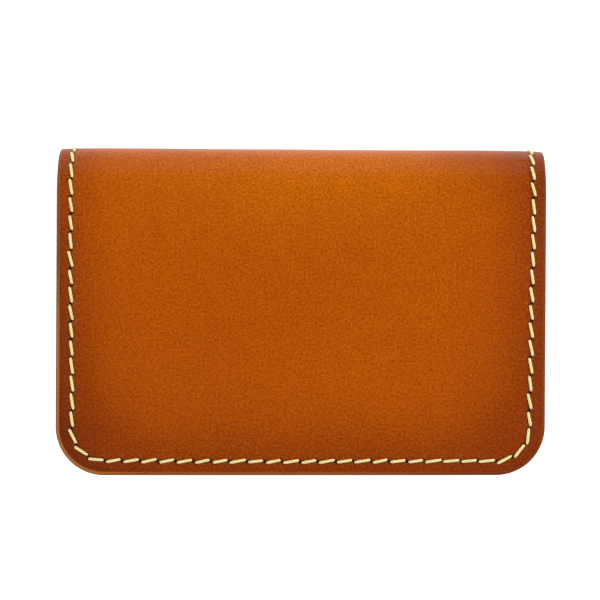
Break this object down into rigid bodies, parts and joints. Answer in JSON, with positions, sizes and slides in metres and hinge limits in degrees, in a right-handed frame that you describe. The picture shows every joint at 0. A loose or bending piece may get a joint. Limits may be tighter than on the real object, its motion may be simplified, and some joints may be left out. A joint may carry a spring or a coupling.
{
  "type": "card holder",
  "caption": "Folding leather card holder: a rounded fold along the top, a gusseted card pocket on the back half and flat card slots on the front half, saddle-stitched round the edges.",
  "frame": {"origin": "middle of the underside, where the closed holder lies on a table", "axes": "+X along the fold, +Y towards the fold, +Z out of the front cover"},
  "size_m": [0.11, 0.0738, 0.018],
  "materials": {
    "cover_leather": "smooth hand-dyed tan leather with a burnished, darker edge and a soft waxed gloss",
    "lining_leather": "undyed natural leather, thin and matt",
    "pocket_leather": "smooth tan leather, lightly waxed",
    "gusset_leather": "thin soft tan leather, creased",
    "thread": "cream waxed linen thread, twisted"
  },
  "bodies": {
    "back": {"back_cover": "cover_leather", "back_lining": "lining_leather", "back_seam_thread": "thread", "gusset": "gusset_leather"},
    "pocket": {"pocket_front": "pocket_leather", "pocket_seam_thread": "thread"},
    "spine_1": {"spine_leather_1": "cover_leather", "spine_lining_1": "lining_leather", "spine_thread_left_1": "thread", "spine_thread_right_1": "thread"},
    "spine_2": {"spine_leather_2": "cover_leather", "spine_lining_2": "lining_leather", "spine_thread_left_2": "thread", "spine_thread_right_2": "thread"},
    "spine_3": {"spine_leather_3": "cover_leather", "spine_lining_3": "lining_leather", "spine_thread_left_3": "thread", "spine_thread_right_3": "thread"},
    "front": {"front_cover": "cover_leather", "front_lining": "lining_leather", "slot_panel_deep": "pocket_leather", "slot_panel_shallow": "pocket_leather", "front_seam_thread": "thread"}
  },
  "joints": [
    {"name": "fold_1", "type": "hinge", "parent": "back", "child": "spine_1", "pos_m": [0, 0.03163, 0], "axis": [-1, 0, 0], "range_deg": [0, 45]},
    {"name": "fold_2", "type": "hinge", "parent": "spine_1", "child": "spine_2", "pos_m": [0, 0.0369, 0.00527], "axis": [-1, 0, 0], "range_deg": [0, 45]},
    {"name": "fold_3", "type": "hinge", "parent": "spine_2", "child": "spine_3", "pos_m": [0, 0.0369, 0.01273], "axis": [-1, 0, 0], "range_deg": [0, 45]},
    {"name": "fold_4", "type": "hinge", "parent": "spine_3", "child": "front", "pos_m": [0, 0.03163, 0.018], "axis": [-1, 0, 0], "range_deg": [0, 45]},
    {"name": "pocket_press", "type": "slide", "parent": "back", "child": "pocket", "axis": [0, 0, 1], "range_m": [-0.004, 0], "stiffness_N_per_m": 400, "deforming": ["gusset"]}
  ],
  "couplings": [
    {"joint": "fold_2", "follows": "fold_1", "ratio": 1},
    {"joint": "fold_3", "follows": "fold_1", "ratio": 1},
    {"joint": "fold_4", "follows": "fold_1", "ratio": 1}
  ]
}
